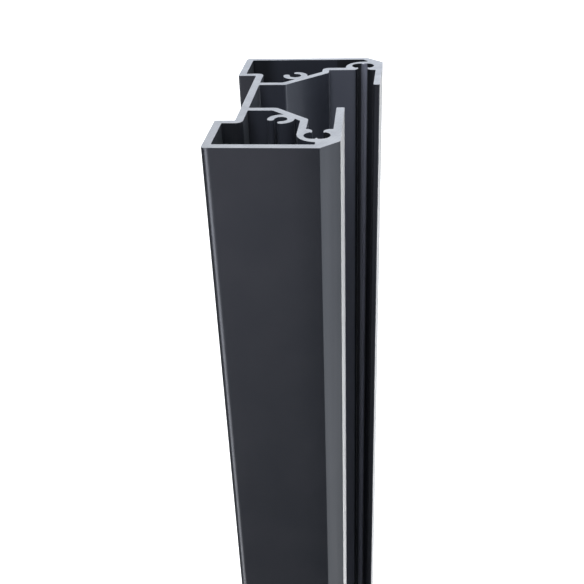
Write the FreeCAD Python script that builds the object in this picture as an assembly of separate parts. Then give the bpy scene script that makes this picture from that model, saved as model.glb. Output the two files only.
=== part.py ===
import FreeCAD, Part
import math
import os

# Metal fence post, one extruded length of aluminium, in millimetres.
# It stands on its foot end and +Z runs up its length. The broad front face looks to -Y,
# the plain side with the shallow channel to -X, and the deep board channel opens to +X.
# The origin is the middle of the foot end.

# Overall sizes
length = 1000.0
depth = 110.0
back_width = 60.2
front_width = 46.9

# Wall thicknesses
wall = 3.0
front_face_wall = 3.4
back_face_wall = 2.6
channel_wall = 3.1
shoulder_wall = 2.8
ledge_wall = 3.3

# Flanges, which lean in from the chamfer to the tip
front_flange = 3.0
front_flange_lean = 0.35
back_flange = 2.6
back_flange_lean = 0.9

# Shallow channel in the plain side, with its middle a little behind the post's
shallow_width = 56.1
shallow_offset = 0.7
shallow_depth = 7.5

# Deep channel between the two flanges, with its middle a little behind the post's
channel_width = 28.9
channel_offset = 1.3
channel_mouth = 28.4
bend = 21.2
ledge_step = 4.1

# Gasket slots, measured from the flange's outer side and from the outer face
slot_centre = 8.4
slot_reach = 12.8
slot_height = 12.2
lobe_radius = 3.4
lobe_offset = 1.3
slot_mouth = 4.0
lip_height = 18.6
lip_bead = 0.3
ridge_width = 0.7
ridge_height = 0.9

# Hollow under a gasket slot, which reaches further at the back
slot_floor_wall = 3.1
slot_floor_rise = 1.2
slot_block = 8.5
back_nose = 6.0

# Screw ports
port_position = 24.1
port_clearance = 3.9
port_bore = 2.4
port_outer = 5.0
port_mouth_angle = 92.0
port_mouth_direction = 230.0

# Corners
chamfer = 6.7
plain_corner_round = 1.5
edge_round = 0.6
tip_round = 0.6
inner_round = 0.5
chamber_round = 2.8
bend_round = 2.0


class Half:
    """The front or the back half, with distances measured in from its own outer face."""

    def __init__(self, width, flange, lean, face_wall, nose, towards_back):
        self.width = width
        self.flange = flange
        self.lean = lean
        self.face_wall = face_wall
        self.nose = nose
        self.channel_face = depth / 2 + towards_back * channel_offset - channel_width / 2
        self.tip = depth / 2 + towards_back * channel_offset - channel_mouth / 2
        self.step = depth / 2 + towards_back * shallow_offset - shallow_width / 2
        self.slot_middle = width - slot_centre
        self.shoulder = width - slot_reach
        self.slope = self.channel_face + bend

    def flange_inside(self, distance):
        """X of the flange's inner side, which leans as its outer side does."""
        return self.width - self.flange - self.lean * (distance - chamfer) / (self.tip - chamfer)


def face_inside(edges):
    return Part.Face(Part.Wire(edges))


def rounded_outline(corners):
    """Face inside straight sides, each corner given as x, y and the radius that rounds it."""
    points = [FreeCAD.Vector(x, y, 0) for x, y, radius in corners]
    arcs = []
    for i, (x, y, radius) in enumerate(corners):
        back = (points[i - 1] - points[i]).normalize()
        on = (points[(i + 1) % len(points)] - points[i]).normalize()
        half_angle = back.getAngle(on) / 2
        start = points[i] + back * (radius / math.tan(half_angle))
        end = points[i] + on * (radius / math.tan(half_angle))
        inward = (back + on).normalize()
        crown = points[i] + inward * (radius / math.sin(half_angle) - radius)
        arcs.append((start, crown, end))
    edges = []
    for i, (start, crown, end) in enumerate(arcs):
        last_end = arcs[i - 1][2]
        if (start - last_end).Length > 0.001:
            edges.append(Part.makeLine(last_end, start))
        if (end - start).Length > 0.001:
            edges.append(Part.Arc(start, crown, end).toShape())
    return face_inside(edges)


def disc(x, y, radius):
    return face_inside([Part.makeCircle(radius, FreeCAD.Vector(x, y, 0))])


def side_corners(half):
    """One half's outside, from the shallow channel round the flange to the deep channel's root."""
    near_lip = half.slot_middle + slot_mouth / 2
    far_lip = half.slot_middle - slot_mouth / 2
    flange_root = half.flange_inside(lip_height)
    lip_round = 0.95 * min(flange_root - near_lip, far_lip - (half.width - slot_reach))
    return [
        (shallow_depth, half.step, inner_round),
        (0, half.step, edge_round),
        (0, 0, plain_corner_round),
        (half.width - chamfer, 0, edge_round),
        (half.width, chamfer, edge_round),
        (half.width - half.lean, half.tip, tip_round),
        (half.flange_inside(half.tip), half.tip, tip_round),
        (flange_root, lip_height, inner_round),
        (near_lip, lip_height, lip_round),
        (near_lip, slot_height, 0),
        (far_lip, slot_height, 0),
        (far_lip, lip_height, lip_round),
        (half.shoulder, lip_height, 0),
        (half.shoulder, half.slope - half.shoulder, bend_round),
        (bend, half.channel_face, bend_round),
        (shallow_depth + wall, half.channel_face, inner_round),
    ]


def silhouette(front, back):
    """Everything inside the outer skin, with both channels and the slots' mouths left out."""
    back_corners = [(x, depth - y, radius) for x, y, radius in reversed(side_corners(back))]
    return rounded_outline(side_corners(front) + back_corners)


def chamber(half):
    """The long hollow of one half, which dips under the gasket slot."""
    skin = half.shoulder - shoulder_wall
    block = half.width - slot_reach - shoulder_wall
    slot_floor = slot_height - lobe_radius - slot_floor_wall
    floor_round = 1.1 * (slot_reach + shoulder_wall - slot_block)
    nose_round = 0.2 * (slot_floor - half.face_wall)
    slope = half.slope - channel_wall * math.sqrt(2)
    under = half.channel_face - channel_wall
    root = shallow_depth + wall
    below_slot = [
        (wall, half.face_wall, inner_round),
        (half.width - slot_block, half.face_wall, nose_round),
        (half.width - half.nose, slot_floor, nose_round),
        (block, slot_floor + slot_floor_rise, floor_round),
    ]
    ledge = [
        (block, lip_height - ledge_wall, inner_round),
        (skin, lip_height - ledge_wall, chamber_round),
    ]
    beside_channel = [
        (skin, slope - skin, inner_round),
        (slope - under, under, bend_round),
        (root, under, inner_round),
        (root, half.step - wall, chamber_round),
        (wall, half.step - wall, inner_round),
    ]
    if block - skin < chamber_round:
        ledge = []
    return rounded_outline(below_slot + ledge + beside_channel)


def slot_lobes(half):
    """The two overlapping round hollows that hold the gasket's foot."""
    left = disc(half.slot_middle - lobe_offset, slot_height, lobe_radius)
    right = disc(half.slot_middle + lobe_offset, slot_height, lobe_radius)
    return left.fuse(right)


def slot_hooks(half):
    """The bead hanging from each lip and the low ridge on the slot's floor."""
    beside = slot_mouth / 2 + lip_bead
    rise = math.sqrt(lobe_radius**2 - (beside - lobe_offset) ** 2)
    bead_height = slot_height + rise - lip_bead / 2
    foot = slot_height - lobe_radius - ridge_height / 2
    crest = slot_height - lobe_radius + ridge_height
    ridge = rounded_outline([
        (half.slot_middle - ridge_width / 2, foot, 0),
        (half.slot_middle + ridge_width / 2, foot, 0),
        (half.slot_middle + ridge_width / 2, crest, ridge_width / 3),
        (half.slot_middle - ridge_width / 2, crest, ridge_width / 3),
    ])
    return [
        disc(half.slot_middle - beside, bead_height, lip_bead),
        disc(half.slot_middle + beside, bead_height, lip_bead),
        ridge,
    ]


def screw_port(half):
    """A C-shaped ring on the sloping wall, open towards the outer corner, with round arm ends."""
    x = port_position
    y = half.slope - (channel_wall + port_clearance) * math.sqrt(2) - port_position
    ring = disc(x, y, port_outer).cut(disc(x, y, port_bore))
    middle = (port_outer + port_bore) / 2
    arm_end_round = (port_outer - port_bore) / 2
    mouth_corners = [(x, y, 0)]
    arm_ends = []
    for turn in (-port_mouth_angle / 2, port_mouth_angle / 2):
        angle = math.radians(port_mouth_direction + turn)
        mouth_corners.append((x + depth * math.cos(angle), y + depth * math.sin(angle), 0))
        arm_ends.append(disc(x + middle * math.cos(angle), y + middle * math.sin(angle), arm_end_round))
    return ring.cut(rounded_outline(mouth_corners)).fuse(arm_ends)


def to_back(shape):
    return shape.mirror(FreeCAD.Vector(0, depth / 2, 0), FreeCAD.Vector(0, 1, 0))


def full_length(shape):
    return shape.extrude(FreeCAD.Vector(0, 0, length))


def post():
    """The whole length, with the section's left front corner on the Z axis."""
    front = Half(front_width, front_flange, front_flange_lean, front_face_wall, slot_block, 1)
    back = Half(back_width, back_flange, back_flange_lean, back_face_wall, back_nose, -1)
    back.shoulder = back.slope - lip_height - ledge_step
    hollows = [chamber(front), slot_lobes(front), to_back(chamber(back)), to_back(slot_lobes(back))]
    additions = slot_hooks(front) + [screw_port(front)]
    additions += [to_back(shape) for shape in slot_hooks(back) + [screw_port(back)]]
    body = full_length(silhouette(front, back).cut(hollows))
    return body.fuse([full_length(shape) for shape in additions]).removeSplitter().Solids[0]


whole = post()
whole.translate(FreeCAD.Vector(-back_width / 2, -depth / 2, 0))

os.makedirs("parts", exist_ok=True)
whole.exportStep("parts/post_profile.step")
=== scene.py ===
import math

import bpy
from mathutils import Matrix, Vector


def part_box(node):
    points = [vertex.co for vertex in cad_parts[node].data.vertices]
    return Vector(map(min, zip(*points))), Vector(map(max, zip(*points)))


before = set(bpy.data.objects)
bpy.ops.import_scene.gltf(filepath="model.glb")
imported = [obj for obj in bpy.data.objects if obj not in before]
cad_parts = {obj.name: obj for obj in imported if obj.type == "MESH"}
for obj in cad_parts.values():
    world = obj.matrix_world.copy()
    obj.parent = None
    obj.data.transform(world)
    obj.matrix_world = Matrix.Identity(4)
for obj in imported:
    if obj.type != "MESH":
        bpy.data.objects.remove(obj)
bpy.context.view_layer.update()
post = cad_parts["post_profile"]
low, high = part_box("post_profile")
length = high.z - low.z

# Lengths are in metres. A pair of numbers is a range, from its first value to its last, unless
# its comment says otherwise.

# The section, as in the part's source: a slot's middle is measured from its flange's outer side,
# and its floor and lip from the outer face
front_width = 0.0469
chamfer = 0.0067
slot_centre = 0.0084
slot_floor = 0.0088
lip_height = 0.0186

# Edges: the real break on the sawn ends, in metres, segments and degrees, and the bump that
# stands for softer long corners and for crowned faces beside the chamfers
break_width = 0.00025
break_segments = 2
break_angle = 60
corner_reach = (0.0002, 0.0029)
corner_rise = (0, 0.00065)
crown_reach = 0.0095
crown_slope = 0.08

# Where the coat is painted paler, as painted light that stands in for light the lamps don't bring:
# a round patch on each slot's floor, a little nearer to the flange than the slot's middle, which
# fades out over its radius; the wider ledge beside the back slot, whose middle is measured from
# the flange's outer side; and the hollows, which set in between two distances from the plain side
# and leave out the outer skin
slot_floor_shift = 0.0005
slot_floor_radius = (0.0009, 0.0015)
ledge_middle = 0.0164
ledge_half_width = 0.0061
ledge_half_depth = 0.0004
hollow_start = 0.009
hollow_full = 0.014
outer_skin = 0.0015

# Noise: each pair is how fine it is and how much detail it has
peel_noise = (900, 2)
dust_noise = (35, 4)
die_line_noise = (500, 1)
grain_noise = (1500, 3)
mottle_noise = (160, 3)

# Coat and metal: the parts of the noises' ranges that show, what they turn into, and the bump of
# the orange peel and the saw marks
dust_range = (0.4, 0.7)
fine_range = (0.3, 0.7)
mottle_range = (0.35, 0.65)
mottle_share = (0, 0.5)
coat_roughness = (0.28, 0.32)
metal_roughness = (0.38, 0.5)
die_line_stretch = 0.02
fine_bump_strength = 0.15
fine_bump_height = 0.0001
coat_gloss = {
    "Specular IOR Level": 0.7,
    "Specular Tint": (0.82, 0.88, 1.0, 1),
    "Sheen Weight": 0.1,
    "Sheen Roughness": 0.3,
    "Sheen Tint": (0.80, 0.89, 1.0, 1),
}

# Sawn ends: a face counts as sawn where the upward or downward part of its normal is over
# sawn_tilt. The saw marks are arcs round the blade's axle, far outside the post.
sawn_tilt = 0.2
axle_shift = (0.9, -0.35, 0)
saw_arcs = {"Scale": 240, "Distortion": 1.5, "Detail": 2, "Detail Scale": 40}
saw_shade = 0.3
saw_bump = 0.25

# Colours, linear
coat_colour = (0.0145, 0.0165, 0.021, 1)
coat_colour_dusty = (0.0195, 0.021, 0.0255, 1)
# Painted light on the slot floors: a much paler coat that stands in for light in the slots
slot_floor_painted_light_colour = (0.25, 0.265, 0.34, 1)
# Painted light in the hollows: a paler coat that lifts the shade inside the chambers and the board
# channel
hollow_painted_light_colour = (0.033, 0.037, 0.050, 1)
# Painted light on the ledge beside the back slot: a paler coat that stands in for light there
ledge_painted_light_colour = (0.088, 0.096, 0.124, 1)
metal_colour = (0.61, 0.61, 0.61, 1)
metal_colour_dull = (0.44, 0.44, 0.45, 1)
floor_colour = (0.88, 0.88, 0.88, 1)
white = (1, 1, 1, 1)
daylight = (0.93, 0.96, 1.0, 1)
warm_light = (1.0, 0.93, 1.0, 1)

# Studio, where a brightness of 1 is a white sheet: one side is bright up to a certain height,
# and the zenith is bright all round. Heights are those of a direction of length 1.
studio_dark = 0.08
studio_bright = 1.1
bright_towards = (0.71, 0.71, 0)
bright_wedge = (0.1, 0.65)
side_heights = (0.42, 0.65)
side_shares = (1.3, 0.3)
zenith_heights = (0.6, 0.9)
zenith_brightness = (0, 1.6)

# Floor: the lift is for the camera alone and whitens the floor. The glows are for reflections
# alone: each lies in a wedge round a level direction and grows with the distance from the post.
# Where the left one is, the light turns warm.
floor_half_side = 12
floor_roughness = 0.8
floor_lift = 0.8
right_glow = {
    "towards": (0.883, -0.469, 0),
    "wedge": (0.88, 0.966),
    "brightness": (studio_dark, 0.9),
    "away": (0.3, 1.5),
    "shares": (0.26, 0.87),
}
left_glow = {
    "towards": (-0.574, -0.819, 0),
    "wedge": (0.72, 0.966),
    "brightness": (0, 0.8),
    "away": (0.6, 2.2),
    "shares": (0.08, 1),
}
warm_brightness = (0, 0.02)

# Lamps: the overhead softbox's place is taken from the middle of the post's top. Each strip has
# its degrees round the post from straight in front, its width and its brightness.
overhead_place = (-0.05, -0.5, 0.4)
overhead_side = 0.4
overhead_brightness = 4.2
softbox_spread = 180
strip_spread = 150
strip_distance = 0.42
strip_shortfall = 0.06
strips = {
    "left_strip": (-50, 0.10, 3.8),
    "right_strip": (72, 0.14, 1.15),
    "rim_strip": (149, 0.16, 4.3),
}

# Camera, with its angles in degrees: it stands in front of the post and looks down at its end.
# The focal length is a share of the picture's width, in pixels over pixels.
camera_right = 0.03149
camera_front = -0.32151
camera_above_end = 0.10178
look_down = 30.354
look_left = 6.945
camera_roll = -2.341
focal_share = 852.04 / 584
sensor_width = 36
clip_start = 0.01


class Nodes:
    """The node tree of a material or the world, with short calls to add and join nodes."""

    def __init__(self, owner):
        owner.use_nodes = True
        self.tree = owner.node_tree
        self.shader = self.tree.nodes.get("Principled BSDF")

    def put(self, value, socket):
        if isinstance(value, bpy.types.NodeSocket):
            self.tree.links.new(value, socket)
        else:
            socket.default_value = value

    def fill(self, node, inputs):
        for key, value in inputs.items():
            self.put(value, node.inputs[key])
        return node

    def add(self, kind, inputs=None, **settings):
        node = self.tree.nodes.new(kind)
        for key, value in settings.items():
            setattr(node, key, value)
        return self.fill(node, inputs or {})

    def maths(self, operation, *values):
        return self.add("ShaderNodeMath", dict(enumerate(values)), operation=operation).outputs[0]

    def vector(self, operation, *values):
        node = self.add("ShaderNodeVectorMath", dict(enumerate(values)), operation=operation)
        return node.outputs["Value" if operation in ("LENGTH", "DOT_PRODUCT") else "Vector"]

    def split(self, vector):
        return self.add("ShaderNodeSeparateXYZ", {"Vector": vector}).outputs

    def spread(self, value, given, wanted, **settings):
        """The value carried over from one range to the other."""
        limits = dict(zip(("From Min", "From Max", "To Min", "To Max"), given + wanted))
        return self.add("ShaderNodeMapRange", {"Value": value, **limits}, **settings).outputs[0]

    def blend(self, share, a, b, kind="RGBA"):
        inputs = {"Factor": share, "A": a, "B": b}
        return self.add("ShaderNodeMix", inputs, data_type=kind).outputs["Result"]

    def noise(self, place, scale, detail):
        inputs = {"Vector": place, "Scale": scale, "Detail": detail}
        return self.add("ShaderNodeTexNoise", inputs).outputs[0]

    def stretched(self, factors):
        place = self.add("ShaderNodeTexCoord").outputs["Object"]
        return self.add("ShaderNodeMapping", {"Vector": place, "Scale": factors}).outputs[0]


def from_edge(made, place, x, y):
    """Distance from the upright line at x and y."""
    away = made.vector("SUBTRACT", place, (x, y, 0))
    return made.vector("LENGTH", made.vector("MULTIPLY", away, (1, 1, 0)))


def soft_corner(made, place, x, y):
    """Height that climbs over a plain corner, where the coat flows round it."""
    distance = from_edge(made, place, x, y)
    return made.spread(distance, corner_reach, corner_rise, interpolation_type="SMOOTHSTEP")


def crown(made, place, x, y):
    """Height that makes the faces beside a chamfer's edge slightly crowned."""
    share = made.spread(from_edge(made, place, x, y), (0, crown_reach), (1, 0))
    squared = made.maths("MULTIPLY", share, share)
    return made.maths("MULTIPLY", squared, -crown_slope * crown_reach / 2)


def soft_edges(made, place):
    """Heights of the four long edges that show a soft line of light."""
    corners = [soft_corner(made, place, low.x, y) for y in (low.y, high.y)]
    chamfers = [(low.x + front_width - chamfer, low.y), (high.x - chamfer, high.y)]
    crowns = [crown(made, place, x, y) for x, y in chamfers]
    return made.maths("ADD", made.maths("ADD", *corners), made.maths("ADD", *crowns))


def slot_floor_painted_light(made, place):
    """1 on the floor of each gasket slot, beside its ridge, where a much paler coat is painted
    light.
    """
    shift = slot_floor_shift - slot_centre
    lines = [
        (low.x + front_width + shift, low.y + slot_floor),
        (high.x + shift, high.y - slot_floor),
    ]
    distances = [from_edge(made, place, x, y) for x, y in lines]
    shares = [made.spread(distance, slot_floor_radius, (1, 0)) for distance in distances]
    return made.maths("ADD", *shares)


def ledge_painted_light(made, place):
    """1 on the wider ledge beside the back gasket slot, where a paler coat is painted light."""
    parts = made.split(place)
    across = made.maths("COMPARE", parts["X"], high.x - ledge_middle, ledge_half_width)
    inward = made.maths("COMPARE", parts["Y"], high.y - lip_height, ledge_half_depth)
    return made.maths("MULTIPLY", across, inward)


def hollow_painted_light(made, place):
    """1 inside the chambers and the board channel, where a paler coat is painted light in the
    recesses.
    """
    parts = made.split(place)
    beyond_web = made.spread(parts["X"], (low.x + hollow_start, low.x + hollow_full), (0, 1))
    before_chamfer = made.maths("LESS_THAN", parts["X"], low.x + front_width - chamfer)
    within = made.maths("LESS_THAN", made.maths("ABSOLUTE", parts["Y"]), high.y - outer_skin)
    return made.maths("MULTIPLY", beyond_web, made.maths("MULTIPLY", before_chamfer, within))


def sawn_mask(made):
    """1 on the two sawn ends and 0 on every long surface."""
    normal = made.add("ShaderNodeNewGeometry").outputs["True Normal"]
    return made.maths("GREATER_THAN", made.maths("ABSOLUTE", made.split(normal)["Z"]), sawn_tilt)


def saw_marks(made, place):
    """Height of the arcs that the blade leaves, from 0 to 1."""
    inputs = {"Vector": place, "Location": axle_shift}
    from_axle = made.add("ShaderNodeMapping", inputs).outputs[0]
    inputs = {"Vector": from_axle, **saw_arcs}
    node = made.add("ShaderNodeTexWave", inputs, wave_type="RINGS", rings_direction="Z")
    return node.outputs["Fac"]


def coat(made, place):
    """Colour and roughness of the powder coat, with dust, faint lines from the die, and painted
    light on the slot floors, the back ledge and in the hollows.
    """
    dust = made.spread(made.noise(place, *dust_noise), dust_range, (0, 1))
    colour = made.blend(dust, coat_colour, coat_colour_dusty)
    # Painted light: paler coat in the hollows, on the back ledge and on the slot floors
    colour = made.blend(hollow_painted_light(made, place), colour, hollow_painted_light_colour)
    colour = made.blend(ledge_painted_light(made, place), colour, ledge_painted_light_colour)
    colour = made.blend(slot_floor_painted_light(made, place), colour, slot_floor_painted_light_colour)
    die_lines = made.noise(made.stretched((1, 1, die_line_stretch)), *die_line_noise)
    return colour, made.spread(die_lines, fine_range, coat_roughness)


def bare_metal(made, place, saw):
    """Colour and roughness of the cut metal, with saw marks, grain and mottle."""
    grain = made.noise(place, *grain_noise)
    mottle = made.spread(made.noise(place, *mottle_noise), mottle_range, mottle_share)
    marks = made.maths("MULTIPLY", saw, made.maths("MULTIPLY", grain, saw_shade))
    colour = made.blend(made.maths("ADD", marks, mottle), metal_colour, metal_colour_dull)
    return colour, made.spread(grain, fine_range, metal_roughness)


def post_bump(made, place, sawn, saw):
    """Normal with the orange peel or the saw marks over the soft long corners."""
    coated = made.maths("SUBTRACT", 1, sawn)
    corners = made.maths("MULTIPLY", soft_edges(made, place), coated)
    rounded = made.add("ShaderNodeBump", {"Height": corners, "Distance": 1})
    peel = made.noise(place, *peel_noise)
    bump = made.add("ShaderNodeBump", {
        "Height": made.blend(sawn, peel, made.maths("MULTIPLY", saw, saw_bump), "FLOAT"),
        "Strength": fine_bump_strength,
        "Distance": fine_bump_height,
        "Normal": rounded.outputs["Normal"],
    })
    return bump.outputs["Normal"]


def post_material():
    """Satin powder coat with a fine orange peel, and bare metal with saw marks where it is cut."""
    material = bpy.data.materials.new("powder_coat_and_sawn_metal")
    made = Nodes(material)
    sawn = sawn_mask(made)
    place = made.stretched((1, 1, 1))
    saw = saw_marks(made, place)
    coat_look, coat_rough = coat(made, place)
    metal_look, metal_rough = bare_metal(made, place, saw)
    made.fill(made.shader, {
        "Base Color": made.blend(sawn, coat_look, metal_look),
        "Metallic": sawn,
        "Roughness": made.blend(sawn, coat_rough, metal_rough, "FLOAT"),
        "Normal": post_bump(made, place, sawn, saw),
        **coat_gloss,
    })
    return material


def dress_post():
    """Gives the CAD solid its material and breaks the edges of its sawn ends."""
    post.data.materials.clear()
    post.data.materials.append(post_material())
    bevel = post.modifiers.new("sawn_edges", "BEVEL")
    bevel.width = break_width
    bevel.segments = break_segments
    bevel.limit_method = "ANGLE"
    bevel.angle_limit = math.radians(break_angle)


def share_towards(made, place, towards):
    """1 straight towards a level direction, 0 square to it and -1 away from it."""
    level = made.vector("NORMALIZE", made.vector("MULTIPLY", place, (1, 1, 0)))
    return made.vector("DOT_PRODUCT", level, towards)


def floor_glow(made, place, towards, wedge, brightness, away, shares):
    """Brightness of one of the floor's glows."""
    aimed = made.spread(share_towards(made, place, towards), wedge, brightness)
    grown = made.spread(made.vector("LENGTH", place), away, shares)
    return made.maths("MULTIPLY", aimed, grown)


def floor_material():
    """White to the camera, with the post's shadow, and two glows on the dark to reflections."""
    material = bpy.data.materials.new("pale_floor")
    made = Nodes(material)
    ray = made.add("ShaderNodeLightPath").outputs
    made.fill(made.shader, {
        "Base Color": floor_colour,
        "Roughness": floor_roughness,
        "Emission Color": white,
        "Emission Strength": made.maths("MULTIPLY", ray["Is Camera Ray"], floor_lift),
    })
    place = made.stretched((1, 1, 0))
    right = floor_glow(made, place, **right_glow)
    left = floor_glow(made, place, **left_glow)
    tint = made.blend(made.spread(left, warm_brightness, (0, 1)), daylight, warm_light)
    inputs = {"Color": tint, "Strength": made.maths("ADD", right, left)}
    glow = made.add("ShaderNodeEmission", inputs).outputs[0]
    inputs = {0: ray["Is Glossy Ray"], 1: made.shader.outputs[0], 2: glow}
    shown = made.add("ShaderNodeMixShader", inputs).outputs[0]
    made.put(shown, made.tree.nodes["Material Output"].inputs["Surface"])
    return material


def make_floor():
    """A plain sheet under the post, which isn't part of the object."""
    mesh = bpy.data.meshes.new("floor")
    side = floor_half_side
    corners = [(-side, -side, 0), (side, -side, 0), (side, side, 0), (-side, side, 0)]
    mesh.from_pydata(corners, [], [(0, 1, 2, 3)])
    mesh.materials.append(floor_material())
    floor = bpy.data.objects.new("floor", mesh)
    floor.location.z = low.z
    bpy.context.scene.collection.objects.link(floor)


def soft_light(name, place, target, width, height, brightness, spread):
    """A softbox whose brightness is that of a white sheet times the given number."""
    data = bpy.data.lights.new(name, "AREA")
    data.shape = "RECTANGLE"
    data.size = width
    data.size_y = height
    data.energy = brightness * math.pi * width * height
    data.spread = math.radians(spread)
    lamp = bpy.data.objects.new(name, data)
    lamp.location = place
    lamp.rotation_euler = (place - target).to_track_quat("Z", "Y").to_euler()
    lamp.visible_camera = False
    bpy.context.scene.collection.objects.link(lamp)


def upright_strip(name, turned, width, brightness):
    """A strip light that stands beside the post and ends a little below its top."""
    angle = math.radians(turned)
    middle = Vector((0, 0, (length - strip_shortfall) / 2))
    away = Vector((math.sin(angle), -math.cos(angle), 0)) * strip_distance
    height = length - strip_shortfall
    soft_light(name, middle + away, middle, width, height, brightness, strip_spread)


def light_post():
    """A softbox above the front and three strips round the post."""
    top = Vector((0, 0, high.z))
    place = top + Vector(overhead_place)
    side = overhead_side
    soft_light("overhead", place, top, side, side, overhead_brightness, softbox_spread)
    for name, (turned, width, brightness) in strips.items():
        upright_strip(name, turned, width, brightness)


def make_world():
    """White to the camera, and otherwise a studio that is bright overhead and on one side."""
    world = bpy.data.worlds.new("studio")
    bpy.context.scene.world = world
    made = Nodes(world)
    direction = made.add("ShaderNodeTexCoord").outputs["Generated"]
    camera = made.add("ShaderNodeLightPath").outputs["Is Camera Ray"]
    height = made.split(direction)["Z"]
    overhead = made.spread(height, zenith_heights, zenith_brightness)
    towards = share_towards(made, direction, bright_towards)
    aimed = made.spread(towards, bright_wedge, (studio_dark, studio_bright))
    side = made.maths("MULTIPLY", aimed, made.spread(height, side_heights, side_shares))
    strength = made.maths("MAXIMUM", side, overhead)
    made.fill(made.tree.nodes["Background"], {
        "Strength": made.maths("MAXIMUM", camera, strength),
        "Color": made.blend(camera, daylight, white),
    })


def make_camera():
    """The camera, at the photograph's viewing angle."""
    data = bpy.data.cameras.new("camera")
    data.sensor_width = sensor_width
    data.lens = focal_share * data.sensor_width
    data.clip_start = clip_start
    camera = bpy.data.objects.new("camera", data)
    moved = Matrix.Translation((camera_right, camera_front, high.z + camera_above_end))
    turned = Matrix.Rotation(math.radians(look_left), 4, "Z")
    tipped = Matrix.Rotation(math.radians(90 - look_down), 4, "X")
    rolled = Matrix.Rotation(math.radians(camera_roll), 4, "Z")
    camera.matrix_world = moved @ turned @ tipped @ rolled
    bpy.context.scene.collection.objects.link(camera)
    bpy.context.scene.camera = camera


dress_post()
make_floor()
light_post()
make_world()
make_camera()
bpy.context.scene.view_settings.view_transform = "Standard"
